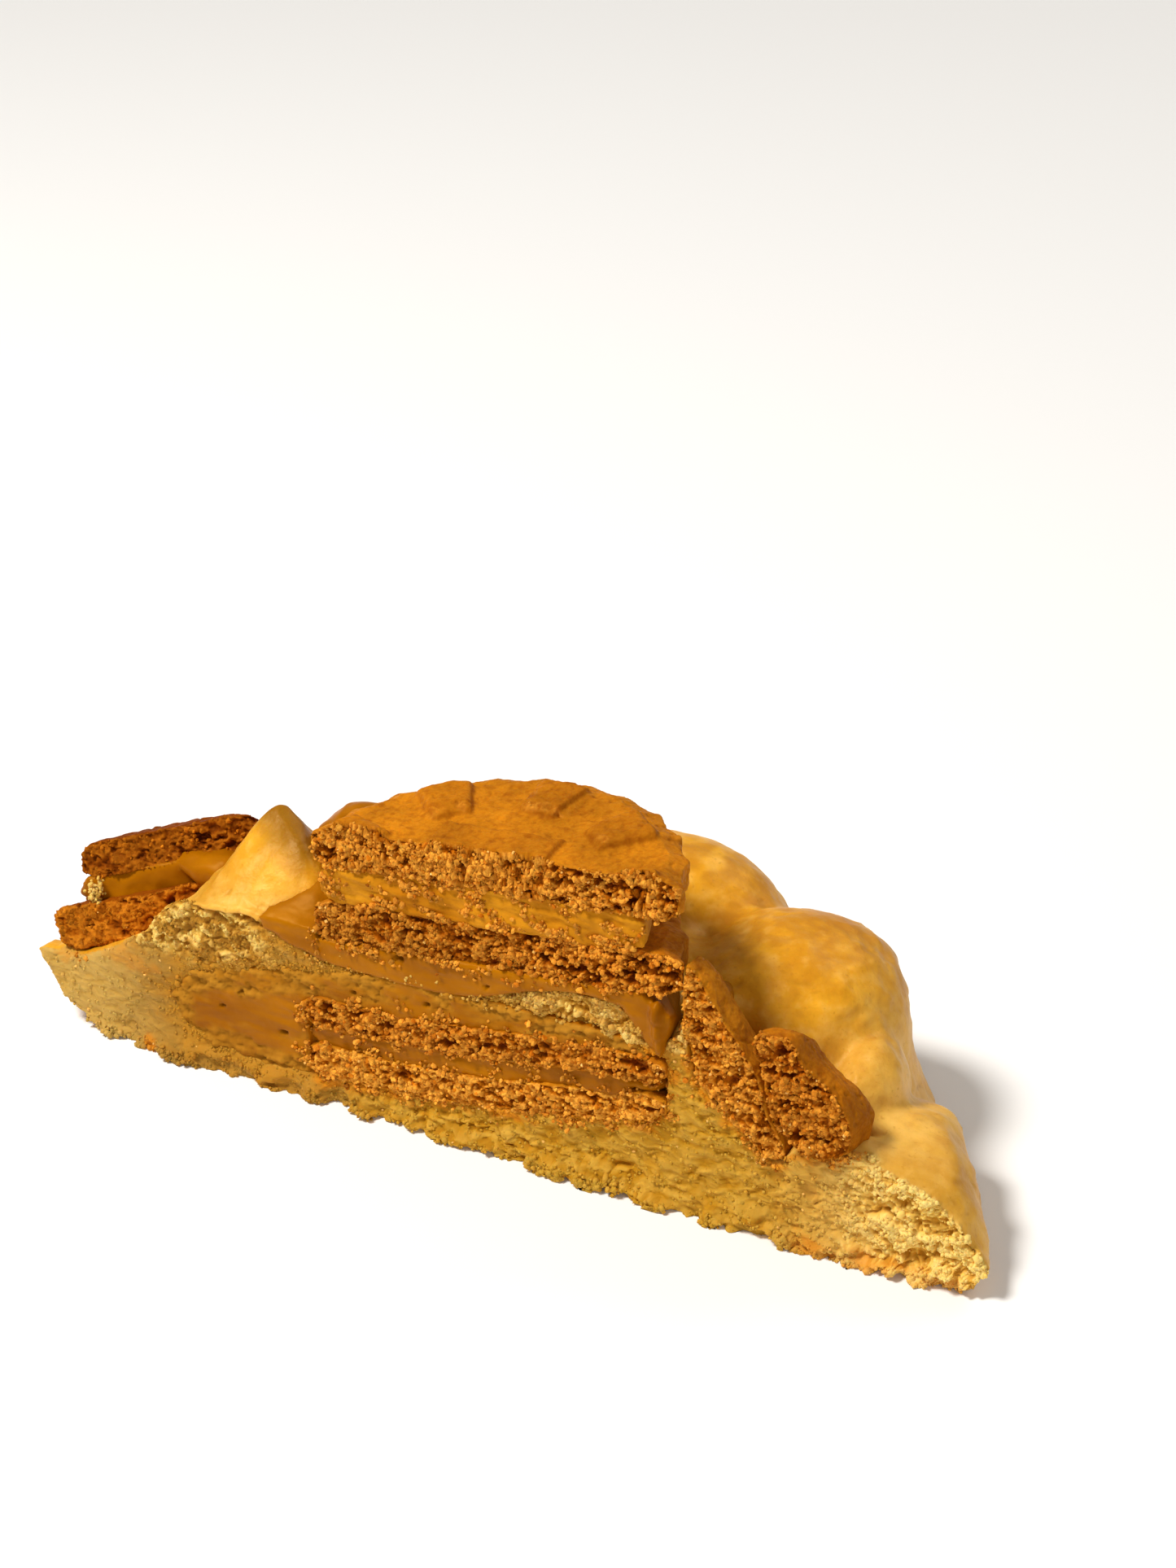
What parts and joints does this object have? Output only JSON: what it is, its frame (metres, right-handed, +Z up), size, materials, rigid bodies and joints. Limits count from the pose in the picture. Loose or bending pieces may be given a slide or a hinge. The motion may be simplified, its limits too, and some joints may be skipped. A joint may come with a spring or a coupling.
{
  "type": "stuffed speculoos cookie half",
  "caption": "One half of a thick stuffed speculoos cookie, cut through the middle, with sandwich biscuits, spread and broken biscuit pieces in and on golden dough.",
  "frame": {"origin": "middle of the flat base, on the surface the half lies on", "axes": "+X along the cut, to the right when the cut face is looked at; +Y from the cut face into the cookie, towards its baked rim; +Z up, away from the flat base"},
  "size_m": [0.0998, 0.0376, 0.0351],
  "materials": {
    "baked_dough": "golden baked cookie dough, smooth skin and crumbly cut",
    "spiced_biscuit": "orange brown spiced biscuit, granular",
    "biscuit_cream": "light tan biscuit cream, soft and smooth",
    "biscuit_spread": "caramel brown spread, smooth and glossy",
    "toasted_biscuit": "darker toasted biscuit, rough"
  },
  "bodies": {
    "root": {"dough": "baked_dough", "top_biscuit_lower": "spiced_biscuit", "top_cream": "biscuit_cream", "top_biscuit_upper": "spiced_biscuit", "inner_biscuit_lower": "spiced_biscuit", "inner_cream": "biscuit_cream", "inner_biscuit_upper": "spiced_biscuit", "inner_spread": "biscuit_spread", "top_spread": "biscuit_spread", "left_biscuit_lower": "toasted_biscuit", "left_cream": "biscuit_spread", "left_biscuit_upper": "toasted_biscuit", "right_chunk_steep": "spiced_biscuit", "right_chunk_flat": "spiced_biscuit"}
  },
  "joints": []
}
